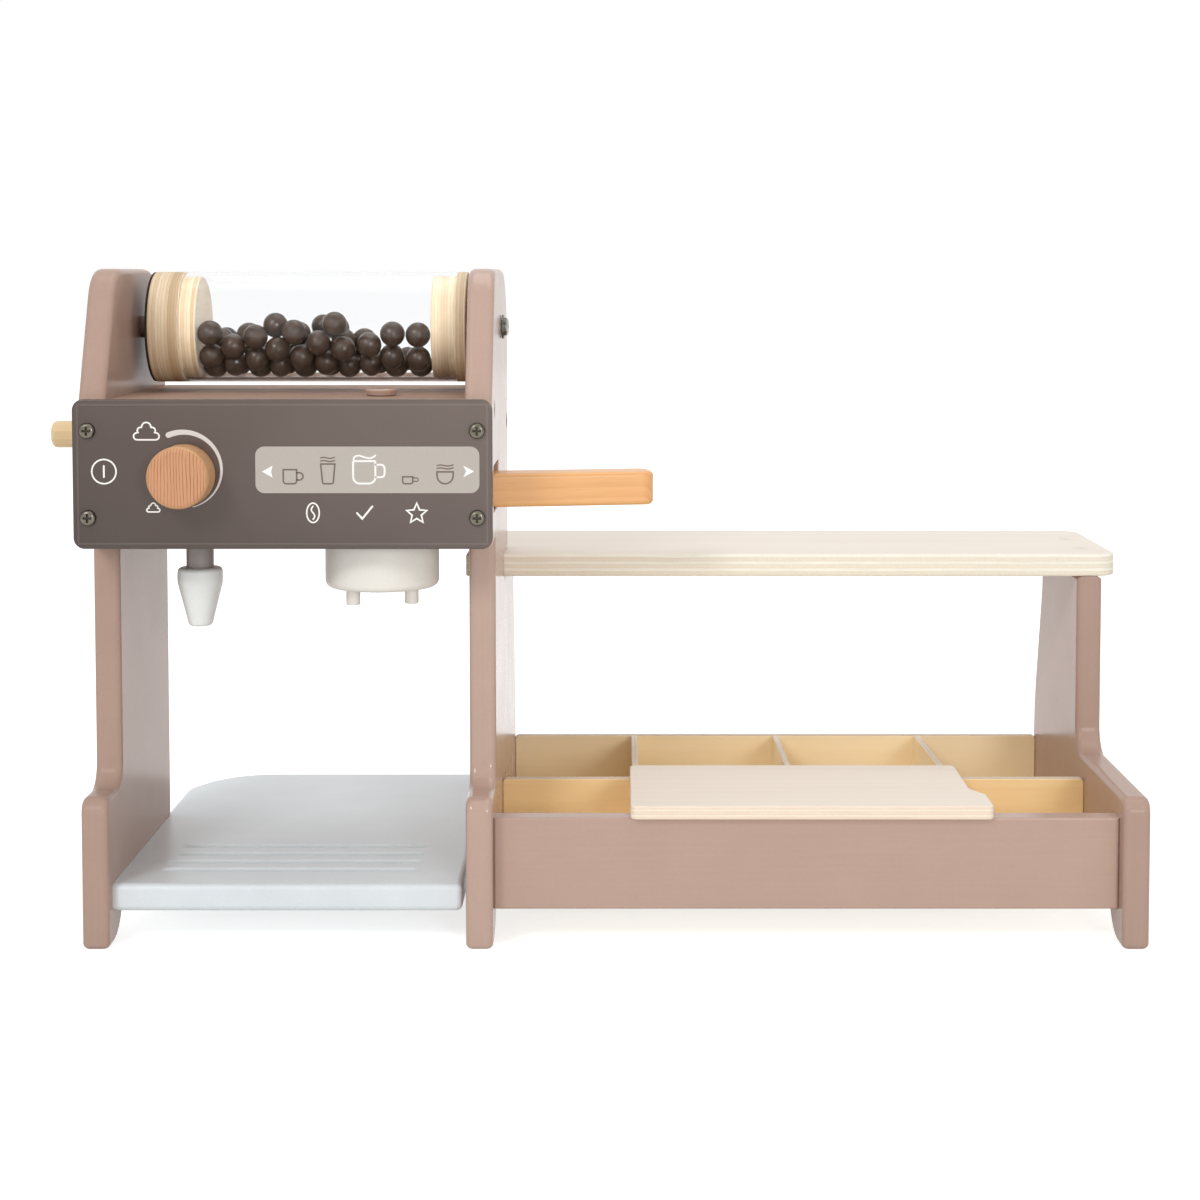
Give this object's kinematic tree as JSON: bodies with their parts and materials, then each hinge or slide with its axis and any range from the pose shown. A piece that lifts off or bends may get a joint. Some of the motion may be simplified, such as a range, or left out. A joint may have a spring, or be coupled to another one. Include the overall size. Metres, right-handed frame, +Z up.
{
  "type": "toy coffee maker",
  "caption": "Wooden toy coffee maker with a crank-turned bean drum, swinging portafilter, steam wand, turning knob, plywood shelf and a compartment tray with a sliding board.",
  "frame": {"origin": "on the floor under the middle of the object's bounding box", "axes": "+X to the right as seen from the front, along the longest side; +Y to the back; +Z up"},
  "size_m": [0.5216, 0.2566, 0.3074],
  "materials": {
    "mocha_paint": "satin paint over board",
    "white_paint": "satin paint over board",
    "smoked_plate": "smoked printed plate, glossy",
    "steel": "zinc plated",
    "grey_shaft": "satin",
    "white_nozzle": "satin paint",
    "cream_paint": "satin paint",
    "beech": "oiled beech",
    "pale_wood": "unfinished lime wood",
    "drum_ply": "sanded plywood",
    "clear_tube": "clear acrylic",
    "bean_brown": "satin paint",
    "plywood": "sanded plywood",
    "tray_wood": "sanded plywood"
  },
  "bodies": {
    "frame": {"left_side_panel": "mocha_paint", "middle_side_panel": "mocha_paint", "right_side_panel": "mocha_paint", "base_board": "white_paint", "top_board": "mocha_paint", "back_board": "mocha_paint", "control_plate": "smoked_plate", "plate_screws": "steel", "side_screws": "steel", "steam_shaft": "grey_shaft", "steam_nozzle": "white_nozzle", "coffee_beans": "bean_brown", "shelf": "plywood", "shelf_plugs": "pale_wood", "tray_front_wall": "mocha_paint", "tray_mid_wall": "tray_wood", "tray_back_wall": "tray_wood", "tray_floor": "tray_wood", "tray_divider_left": "tray_wood", "tray_divider_centre": "tray_wood", "tray_divider_right": "tray_wood"},
    "knob": {"steam_knob": "beech", "knob_screw": "steel", "knob_washer": "steel"},
    "portafilter": {"portafilter_bowl": "cream_paint", "portafilter_handle": "beech", "spout_pegs": "cream_paint", "pivot_peg": "mocha_paint"},
    "drum": {"drum_tube": "clear_tube", "drum_cap_left": "drum_ply", "drum_cap_right": "drum_ply", "drive_disc": "drum_ply", "crank_axle": "pale_wood", "crank_arm": "plywood", "crank_peg": "beech", "axle_screw": "steel", "axle_washer": "steel"},
    "loose_board": {"serving_board": "plywood"}
  },
  "joints": [
    {"name": "drum_spin", "type": "hinge", "parent": "frame", "child": "drum", "pos_m": [-0.2389, -0.01945, 0.27955], "axis": [1, 0, 0], "continuous": true},
    {"name": "knob_turn", "type": "hinge", "parent": "frame", "child": "knob", "pos_m": [-0.1796, -0.10995, 0.2158], "axis": [0, 1, 0], "continuous": true},
    {"name": "portafilter_swing", "type": "hinge", "parent": "frame", "child": "portafilter", "pos_m": [-0.0962, -0.06945, 0.2365], "axis": [0, 0, 1], "range_deg": [-20, 0]},
    {"name": "board_slide", "type": "slide", "parent": "frame", "child": "loose_board", "axis": [1, 0, 0], "range_m": [-0.0616, 0.0567]}
  ]
}
